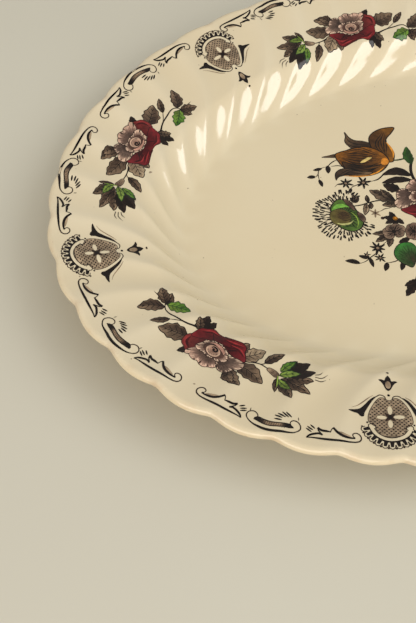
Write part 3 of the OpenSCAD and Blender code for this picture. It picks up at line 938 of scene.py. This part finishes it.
def fringed_bloom():
    """A green and brown flower head, with a fringe of short strokes in three tiers."""
    art = Art()
    rng = random.Random(7)
    hub = np.array([-43.6, 2.4])
    for tier, (near, count) in enumerate(((5.8, 34), (8.4, 46), (11.0, 56))):
        for k in range(count):
            a = math.radians(42 + (k + rng.uniform(0.1, 0.9)) * 281 / count)
            out = np.array([math.cos(a), math.sin(a) * 0.98])
            begin = near * rng.uniform(0.92, 1.08)
            lean = np.array([-out[1], out[0]]) * rng.uniform(-0.6, 0.6)
            end = hub + out * (begin + rng.uniform(1.5, 2.7)) + lean
            art.line([hub + out * begin, end], 0.5 + 0.1 * tier, INK, (0.4, 1.0), 0.8)
    for k in range(26):
        a = math.radians(46 + k * 10.6)
        out = np.array([math.cos(a), math.sin(a)])
        art.line([hub + out * 5.0, hub + out * 9.6], 0.24, SEPIA, (0.9, 0.3), 0.8)
    head = [(-48.4, 7.4), (-46.4, 9.8), (-43.6, 11.2), (-40.8, 9.8), (-38.8, 7.0), (-38.2, 3.4),
        (-36.8, 0.4), (-37.8, -3.4), (-40.2, -5.8), (-43.4, -6.4), (-46.4, -4.6), (-48.6, -1.4),
        (-49.0, 3.0)]
    petal(art, head, (-44, 2.4), (46, 60, 26), (78, 108, 44), 8, 1, INK, 0.5, 23, INK)
    art.fill([(-48.0, 6.4), (-46.0, 8.6), (-43.0, 8.6), (-40.4, 6.0), (-42.4, 6.6),
        (-45.4, 6.7)], (112, 168, 66))
    brown = [(-41.6, 10.4), (-39.6, 9.6), (-38.6, 6.6), (-39.0, 3.6), (-40.6, 6.4)]
    petal(art, brown, (-40, 7), (70, 50, 42), (122, 98, 80), 4, 1, INK, 0.28)
    petal(art, [(-38.4, 2.6), (-36.6, 1.2), (-36.2, -1.6), (-37.6, -3.0), (-38.6, -0.6)], (-38, 0),
        SEPIA, (132, 106, 90), 3, 1, INK, 0.28)
    disc = [
        (-49.6, 4.8), (-47.0, 6.3), (-44.2, 6.0), (-42.2, 4.0), (-41.6, 1.2), (-43.2, -1.4), (-46.0, -2.2),
        (-48.8, -1.6), (-50.2, 1.2),
    ]
    petal(art, disc, (-44.4, 2.4), (84, 62, 38), (96, 88, 44), 4.5, 1, SEPIA, 0.2)
    grain_lines(art, (-47.6, 2.6), (-40.8, 0.6), (2.6, 1.7, 0.8, -0.1, -1.0, -1.9), 0.36, SEPIA)
    art.fill([(-48.4, -0.6), (-46.6, -1.3), (-43.6, -1.7), (-41.4, -1.0), (-43.4, -2.5),
        (-46.6, -2.2)], (190, 190, 122))
    art.line([(-47.2, -3.6), (-44.8, -3.3), (-42.6, -3.8), (-41.0, -5.2)], 0.36, DARK_GREEN, (0.4, 0.4))
    art.line([(-40.8, 3.4), (-39.6, 0.6), (-39.8, -2.6), (-41.2, -5.0)], 0.42, LIME, (0.4, 0.4))
    return art


def floret(art, centre, radius, petals=6, tone=SEPIA, eye=None, turn=0.0):
    """A small star flower of pointed petals round an eye."""
    for k in range(petals):
        a = math.radians(turn + k * 360 / petals)
        reach = radius * (1 + 0.18 * math.sin(k * 2.3 + turn))
        tip = np.array(centre) + reach * np.array([math.cos(a), math.sin(a)])
        art.line([centre, (np.array(centre) + tip) / 2, tip], radius * 0.34, tone, (0.5, 0.3), 0.8)
    if eye is not None:
        art.dot(centre, radius * 0.2, eye, 9)


def sprigs(art):
    """Tendrils, florets and thin twigs round the left of the bouquet."""
    art.line([(-35.6, 32.4), (-38.2, 31.8), (-40.4, 30.6), (-41.8, 29.2)], 0.5, INK)
    leaf(art, (-41.4, 30.2), (-42.6, 26.0), 1.9, 0.1, SEPIA, INK, 0, 0)
    art.line([(-34.6, 27.4), (-37, 29.0), (-40.2, 29.4)], 0.46, INK)
    art.line([(-41.4, 29.8), (-44, 29.6), (-45.4, 29.2), (-46.8, 27.0), (-47.4, 24.4),
        (-47.6, 22)], 0.36, SEPIA)
    leaves(art, SEPIA, INK, (
        ((-44.4, 29.3), (-48.2, 29.3), 1.3, 0.1, 0, 0),
        ((-47.6, 23.6), (-47.5, 19.6), 1.4, 0.1, 0, 0),
    ))
    art.line([(-46.4, 27.2), (-48.2, 25.6), (-49.4, 25.7)], 0.34, SEPIA)
    leaf(art, (-48.6, 25.5), (-52.0, 26.1), 1.6, -0.1, SEPIA, INK, 0, 0)
    art.line([(-42.6, 18.0), (-40.6, 19.2), (-37.6, 18.8), (-35.6, 20.4)], 0.4, SEPIA)
    floret(art, (-37.4, 18.7), 3.0, 7, INK, WASH, 20)
    art.line([(-37.4, 13.8), (-35.6, 16.0), (-33.4, 16.6), (-30, 17.2), (-27.4, 16.6)], 0.42, SEPIA)
    floret(art, (-30.0, 17.2), 3.2, 7, INK, WASH, 50)
    leaf(art, (-36.2, 15.6), (-37.6, 13.2), 1.2, 0, SEPIA, INK, 0, 0)
    art.line([(-39.2, 6.2), (-35.4, 5.9), (-31.4, 6.3), (-27.0, 6.2), (-23.0, 4.6)], 0.6, INK, (0.8, 0.8))
    for tip in ((-38.4, 10.8), (-36.6, 12.4), (-34.9, 11.0)):
        leaf(art, (-36.9, 7.6), tip, 1.7, 0.1, WASH, INK, 0, 2)
    leaf(art, (-33.0, 6.1), (-35.8, 0.4), 2.4, 0.3, PALE_WASH, WASH, 0.05, 3)
    leaf(art, (-32.0, 6.4), (-31.2, 10.3), 1.7, 0.1, WASH, INK, 0, 2)
    leaf(art, (-31.0, 6.0), (-32.2, 2.8), 1.7, 0.1, WASH, SEPIA, 0, 2)
    floret(art, (-31.2, 0.3), 2.3, 6, WASH, SEPIA, 10)
    art.line([(-29.0, 0.6), (-26.4, 1.4), (-24.4, 1.0)], 0.4, SEPIA)
    art.dot((-29.3, -3.0), 0.8, SEPIA, 9)
    floret(art, (-37.0, -17.0), 3.2, 8, INK, WASH, 15)
    floret(art, (-37.8, -21.9), 2.3, 7, INK, WASH, 40)
    floret(art, (-42.6, -19.2), 1.8, 6, INK, WASH, 0)
    art.line([(-47.0, -22.4), (-44.2, -22.0), (-41.4, -20.6), (-38.4, -19.2), (-34.4, -16.0),
        (-31.5, -14.5)], 0.46, INK)
    leaves(art, SEPIA, INK, (
        ((-46.6, -22.3), (-51.9, -19.6), 1.9, -0.4, 0, 0),
        ((-42.0, -20.6), (-42.1, -25.4), 1.4, 0.1, 0, 0),
        ((-42.2, -20.8), (-45.7, -18.6), 1.5, 0.1, 0, 0),
    ))
    art.line([(-29.5, -23.6), (-31.8, -24.9), (-34.4, -25.1), (-36.6, -24.9)], 0.42, SEPIA)
    leaves(art, SEPIA, INK, (
        ((-36.0, -24.8), (-38.3, -28.4), 1.9, 0.1, 0, 0),
        ((-29.6, -26.0), (-31.9, -29.8), 1.8, 0.1, 0, 0),
    ))


def brown_bloom(art, centre, size=1.0, turn=0.0, near=(66, 50, 42), far=(150, 126, 104)):
    """Five overlapping petals seen from the side."""
    bloom = Art()
    for angle in (200, 150, 100, 50, 0, 300):
        a = math.radians(angle)
        tip = np.array([math.cos(a) * 5.2, math.sin(a) * 3.9])
        side = np.array([-math.sin(a), math.cos(a)]) * 2.3
        petal(bloom, [(0, 0), tip * 0.55 + side, tip * 0.95 + side * 0.6, tip * 1.04,
            tip * 0.95 - side * 0.6, tip * 0.55 - side], (0, 0), near, far, 5.4, 1, INK, 0.24, 9, INK)
    bloom.dot((0, 0), 1.0, INK, 9)
    art.add(bloom, centre, turn, size)


def shell_leaf(art):
    points = [(-22.6, -18.4), (-25.0, -17.2), (-27.6, -17.3), (-30.0, -18.8), (-31.6, -21.2),
        (-31.7, -23.8), (-30.6, -26.2), (-28.8, -28.2), (-27.2, -29.6), (-25.4, -28.2), (-23.0, -24.6),
        (-21.8, -21.4)]
    petal(art, points, (-25.5, -26.5), (58, 48, 34), (52, 118, 46), 8.6, 1.1, INK, 0.32, 19, DARK_GREEN)
    for tip in ((-29.8, -20.0), (-30.4, -23.2), (-27.4, -18.6), (-24.6, -18.6)):
        art.line([(-26.4, -28.2), ((-26.4 + tip[0]) / 2 - 0.5, (-28.2 + tip[1]) / 2),
            tip], 0.3, DARK_GREEN, (1, 0.3), 0.9)


def left_blooms(art):
    """The flowers and leaves of one half of the bouquet."""
    art.line([(-13.4, 25.8), (-10.6, 25.4), (-7.4, 25.4), (-4.0, 25.0)], 0.8, DARK_GREEN, (0.8, 0.8))
    art.line([(-4.0, 25.0), (-7.0, 20.5), (-8.4, 15.5), (-8.0, 10)], 1.3, INK, (0.7, 1.0))
    leaf(art, (-8.6, 15.6), (-20.6, 19.2), 4.2, -2.2, SEPIA, INK, 0.04, 5)
    art.line([(-26.4, 17.0), (-23.4, 17.3), (-20.4, 19.0)], 0.6, INK, (0.3, 1.0))
    leaf(art, (-9.6, 13.4), (-22.4, 14.9), 3.2, -0.9, SEPIA, INK, 0.06, 5)
    leaf(art, (-6.2, 21.6), (-4.4, 31.6), 4.0, 0.6, LEAF_GREEN, DARK_GREEN, 0.08, 5, DARK_GREEN)
    leaf(art, (-16.4, 9.6), (-22.2, 14.0), 4.6, 0.4, SEPIA, INK, 0.12, 4)
    leaves(art, WASH, INK, (
        ((-20.6, 4.6), (-29.0, 12.6), 5.2, 0.5, 0.14, 5),
        ((-21.6, 5.4), (-24.4, 11.8), 3.2, 0.2, 0.12, 4),
        ((-19.2, 3.0), (-26.8, 3.6), 3.4, 0.3, 0.12, 4),
    ))
    for angle in (100, 150, 200, 250, 300):
        a = math.radians(angle)
        leaf(art, (-24.4, -4.6), (-24.4 + 5.0 * math.cos(a), -4.6 + 4.0 * math.sin(a)),
            2.2, 0.1, SEPIA, INK, 0.1, 2)
    art.dot((-24.3, -4.5), 1.1, OCHRE, 10)
    art.dot((-24.1, -4.3), 0.5, ORANGE, 8)
    leaves(art, WASH, INK, (
        ((-29.0, -10.6), (-36.4, -9.6), 2.4, 0.2, 0.1, 3),
        ((-30.2, -11.6), (-36.6, -13.8), 2.6, 0.2, 0.1, 3),
        ((-29.4, -12.4), (-32.4, -17.6), 2.6, 0.1, 0.1, 3),
    ))
    brown_bloom(art, (-27.4, -10.8), 0.95, 10)
    leaf(art, (-22.6, -15.6), (-27.6, -16.6), 2.2, 0.1, SEPIA, INK, 0.1, 2)
    brown_bloom(art, (-19.6, -12.8), 0.85, 60, (60, 44, 38), (138, 112, 92))
    shell_leaf(art)
    leaves(art, SEPIA, INK, (
        ((-28.6, -36.2), (-34.9, -41.8), 3.4, 0.3, 0.16, 4),
        ((-27.6, -35.8), (-33.6, -37.2), 2.2, 0.1, 0.12, 3),
    ))
    art.line([(-29.0, -36.4), (-25.5, -32.0), (-21.0, -26.5), (-17.0, -20.0), (-12.5, -12.5),
        (-6.0, -5.0)], 0.8, INK, (0.6, 1.0))
    leaves(art, WASH, INK, (
        ((-17.4, -20.6), (-12.4, -27.6), 3.6, 0.5, 0.14, 4),
        ((-14.6, -15.8), (-6.4, -19.8), 4.4, 0.5, 0.14, 4),
    ))


def bouquet():
    """Flowers round a full rose, with one half of them repeated, turned about, at the other side."""
    art = Art()
    half = Art()
    sprigs(half)
    left_blooms(half)
    art.add(half, (4.0, 1.0), 184.0, 0.96)
    art.add(fringed_bloom(), (2.5, 2.0), 180.0, 0.94)
    art.add(tulip(), (2.0, -1.0), 186.0, 0.92)
    art.add(half)
    art.add(fringed_bloom())
    art.add(tulip())
    for turn, reach in ((60, 24), (20, 25), (-25, 24), (-70, 25), (95, 22), (250, 22)):
        c, s = math.cos(math.radians(turn)), math.sin(math.radians(turn))
        leaf(art, (2 + 6 * c, 6 * s), (2 + reach * c, reach * s * 0.86), 7.0, 0.6, WASH, INK, 0.12, 6)
    lesser = Art()
    rose(lesser)
    art.add(lesser, (9.5, -14.0), 150.0, 0.72, True)
    art.add(lesser, (12.5, 9.5), 215.0, 0.66)
    art.add(lesser, (-6.6, 2.6), 12.0, 1.12)
    return art


# ================================================================ laying a drawing on the glaze
def glaze_tree():
    mesh = platter.data
    coords = np.empty(len(mesh.vertices) * 3)
    mesh.vertices.foreach_get("co", coords)
    normals = np.empty(len(mesh.vertices) * 3)
    mesh.vertices.foreach_get("normal", normals)
    mesh.calc_loop_triangles()
    tris = np.empty(len(mesh.loop_triangles) * 3, int)
    mesh.loop_triangles.foreach_get("vertices", tris)
    coords, normals, tris = coords.reshape(-1, 3), normals.reshape(-1, 3), tris.reshape(-1, 3)
    upper = tris[(normals[tris[:, 0], 2] > 0.1) & (coords[tris].mean(1)[:, 2] > WELL_FLOOR * MM - 1e-4)]
    return BVHTree.FromPolygons(coords.tolist(), upper.tolist()), coords, normals, upper


TREE, GLAZE_CO, GLAZE_NO, GLAZE_TRIS = glaze_tree()


def drop(xy):
    """Points on the glaze under plan points, with the glaze's smooth normals."""
    spots = np.zeros((len(xy), 3))
    index = np.zeros(len(xy), int)
    for k, (x, y) in enumerate(xy * MM):
        hit, _, face, _ = TREE.ray_cast(Vector((x, y, 0.2)), Vector((0, 0, -1)))
        if hit is None:
            hit, _, face, _ = TREE.find_nearest(Vector((x, y, HEIGHT * MM)))
        spots[k], index[k] = hit, face
    a, b, c = (GLAZE_CO[GLAZE_TRIS[index, i]] for i in range(3))
    v0, v1, v2 = (b - a)[:, :2], (c - a)[:, :2], (spots - a)[:, :2]
    den = v0[:, 0] * v1[:, 1] - v1[:, 0] * v0[:, 1]
    wb = (v2[:, 0] * v1[:, 1] - v1[:, 0] * v2[:, 1]) / den
    wc = (v0[:, 0] * v2[:, 1] - v2[:, 0] * v0[:, 1]) / den
    na, nb, nc = (GLAZE_NO[GLAZE_TRIS[index, i]] for i in range(3))
    normals = na * (1 - wb - wc)[:, None] + nb * wb[:, None] + nc * wc[:, None]
    return spots / MM, normals / np.linalg.norm(normals, axis=1, keepdims=True)


def on_plan(points, angle, inset, tilt=0.0, flip=False):
    """Drawing coordinates to the plan: x clockwise round the rim and y outward."""
    middle = plan(np.array([float(angle)]), np.array([float(inset)]))[0]
    out = -inward(np.array([float(angle)]))[0]
    c, s = math.cos(math.radians(tilt)), math.sin(math.radians(tilt))
    out = np.array([c * out[0] - s * out[1], s * out[0] + c * out[1]])
    clockwise = np.array([out[1], -out[0]])
    x = -points[:, :1] if flip else points[:, :1]
    return middle + x * clockwise + points[:, 1:] * out


def lay(name, node, drawings):
    """One piece of print from (triangles of a drawing, plan points, flipped) entries."""
    spots, normals, tris, colours = [], [], [], []
    start = 0
    for (_, faces, tint), xy, flip in drawings:
        spot, normal = drop(xy)
        spots.append(spot + normal * PRINT_LIFT)
        normals.append(normal)
        tris.append((faces[:, ::-1] if flip else faces) + start)
        colours.append(tint[:, ::-1] if flip else tint)
        start += len(xy)
    piece = mesh_object(name, np.vstack(spots), np.vstack(tris).tolist())
    tint = np.vstack(colours).reshape(-1, 3)
    layer = piece.data.color_attributes.new(name="print", type="FLOAT_COLOR", domain="CORNER")
    layer.data.foreach_set("color", np.column_stack([tint, np.ones(len(tint))]).astype(np.float32).ravel())
    piece.data.normals_split_custom_set_from_vertices(np.vstack(normals).tolist())
    piece.data.materials.append(PRINT)
    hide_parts(node)
    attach(piece, "root")
    return piece


PRINT = print_material()

# Where the transfers were laid by hand: angle round the rim and inset. Each half repeats the other.
CARTOUCHE_SPOTS = ((0.5, 17.3), (63.9, 18.7), (117.9, 19.2), (180.5, 17.3), (243.9, 18.7), (297.9, 19.2))
SPRAY_SPOTS = ((33.9, 28.0), (92.5, 29.8), (146.75, 26.3), (213.9, 28.0), (272.5, 29.8), (326.75, 26.3))


def lay_sprays():
    drawn = rose_spray().triangles()
    for k, (angle, inset) in enumerate(SPRAY_SPOTS, 1):
        xy = on_plan(drawn[0], angle, inset)
        lay(f"rose_spray_print_{k}", f"rose_spray_{k}", [(drawn, xy, False)])


def lay_cartouches():
    drawn = cartouche().triangles()
    for k, (angle, inset) in enumerate(CARTOUCHE_SPOTS, 1):
        xy = on_plan(drawn[0], angle, inset)
        lay(f"cartouche_print_{k}", f"cartouche_{k}", [(drawn, xy, False)])


# How far along a gap a scroll's middle lies, which scroll it is, and whether it is flipped.
SCROLL_RUN = ((0.155, "leaf", True), (0.315, "c", True), (0.455, "leaf", False), (0.622, "leaf", True),
    (0.75, "c", False), (0.885, "leaf", False))
# Insets of the scrolls in the three gaps of each half.
SCROLL_INSETS = (6.5, 5.6, 5.0)


def lay_scrolls():
    """The gaps mirror each other across the two end cartouches, and the long-side gaps their own middles."""
    drawn = {"leaf": leaf_scroll().triangles(), "c": c_scroll().triangles()}
    for k in range(6):
        start, end = CARTOUCHE_SPOTS[k][0], CARTOUCHE_SPOTS[(k + 1) % 6][0]
        gap = (end - start) % 360
        run = []
        for share, kind, flip in SCROLL_RUN:
            if k % 3 == 2:
                share, flip = 1 - share, not flip
            xy = on_plan(drawn[kind][0], start + share * gap, SCROLL_INSETS[k % 3], 0, flip)
            run.append((drawn[kind], xy, flip))
        lay(f"border_scroll_print_{k + 1}", f"border_scrolls_{k + 1}", run)


def lay_bouquet():
    drawn = bouquet().triangles()
    lay("centre_bouquet_print", "centre_bouquet", [(drawn, drawn[0], False)])


lay_sprays()
lay_cartouches()
lay_scrolls()
lay_bouquet()


# ================================================================ floor, light and camera
def make_floor():
    far = FLOOR_SIDE / 2 * MM
    corners = [(-far, -far, 0), (far, -far, 0), (far, far, 0), (-far, far, 0)]
    mesh = bpy.data.meshes.new("floor")
    mesh.from_pydata(corners, [], [(0, 1, 2, 3)])
    floor = bpy.data.objects.new("floor", mesh)
    bpy.context.scene.collection.objects.link(floor)
    nodes = Nodes("floor_paper")
    nodes.into("Base Color", nodes.mix(nodes.ramp(nodes.noise(5.0, 2.0), 0.3, 0.7),
        rgba((205, 202, 187)), rgba((209, 207, 192))))
    nodes.into("Roughness", 0.9)
    nodes.into("Specular IOR Level", 0.2)
    mesh.materials.append(nodes.material)
    floor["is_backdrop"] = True


def area_light(name, place, target, size, power, colour):
    data = bpy.data.lights.new(name, "AREA")
    data.shape = "RECTANGLE"
    data.size, data.size_y = size
    data.energy = power
    data.color = colour
    lamp = bpy.data.objects.new(name, data)
    lamp.location = place
    lamp.rotation_mode = "QUATERNION"
    lamp.rotation_quaternion = (Vector(target) - Vector(place)).to_track_quat("-Z", "Y")
    bpy.context.scene.collection.objects.link(lamp)
    return lamp


def from_side(azimuth, elevation, distance):
    """A place seen from the platter in a direction given in degrees."""
    a, e = math.radians(azimuth), math.radians(elevation)
    return Vector((math.cos(e) * math.cos(a), math.cos(e) * math.sin(a), math.sin(e))) * distance


def make_lights():
    """A tall window at the right, soft light from the near side, and a warm room.

    The window's mirror image and its soft light are two lamps, so that each can be set alone.
    """
    middle = (0.0, 0.0, 0.0)
    window = area_light("window", from_side(-32, 39, 1.35), middle, (0.66, 0.95), 7.9, (0.98, 0.99, 1.0))
    window.visible_diffuse = False
    glow = area_light("window_glow", from_side(-28, 49, 1.35), middle, (0.8, 0.8), 4.4, (0.98, 0.99, 1.0))
    ceiling = area_light("ceiling", (0.6, -0.6, 1.2), middle, (1.6, 1.6), 5.4, (0.97, 0.99, 1.0))
    area_light("near_wall", (-0.75, -0.95, 0.5), middle, (1.2, 1.0), 9.0, (1.0, 0.88, 0.79))
    for soft in (glow, ceiling):
        soft.visible_glossy = False
    world = bpy.data.worlds.new("room")
    world.use_nodes = True
    background = world.node_tree.nodes["Background"]
    background.inputs["Color"].default_value = (1.0, 0.95, 0.88, 1)
    background.inputs["Strength"].default_value = 0.5
    bpy.context.scene.world = world


def make_camera():
    azimuth, elevation, roll = math.radians(17.35), math.radians(56.31), math.radians(1.71)
    aim = Vector((-0.1149, -0.0396, HEIGHT * MM))
    distance = 0.3429
    forward = Vector((math.sin(azimuth) * math.cos(elevation), math.cos(azimuth) * math.cos(elevation),
        -math.sin(elevation)))
    level = Vector((math.cos(azimuth), -math.sin(azimuth), 0))
    above = level.cross(forward)
    right = math.cos(roll) * level + math.sin(roll) * above
    up = -math.sin(roll) * level + math.cos(roll) * above
    data = bpy.data.cameras.new("camera")
    data.sensor_width = 36.0
    data.lens = 54.82
    data.clip_start = 0.01
    camera = bpy.data.objects.new("camera", data)
    turn = Matrix((right, up, -forward)).transposed()
    camera.matrix_world = Matrix.Translation(aim - forward * distance) @ turn.to_4x4()
    bpy.context.scene.collection.objects.link(camera)
    bpy.context.scene.camera = camera


make_floor()
make_lights()
make_camera()
bpy.context.scene.view_settings.view_transform = "Standard"

platter.data.materials.append(glaze_material())
foot.data.materials.append(foot_material())
for piece, node, finish in ((platter, "platter_body", "glaze"), (foot, "foot_ring", "foot")):
    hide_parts(node)
    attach(piece, "root")

boxes = {"cad": cad_box, "visual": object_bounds()}
{name: [list(corner) for corner in box] for name, box in boxes.items()}
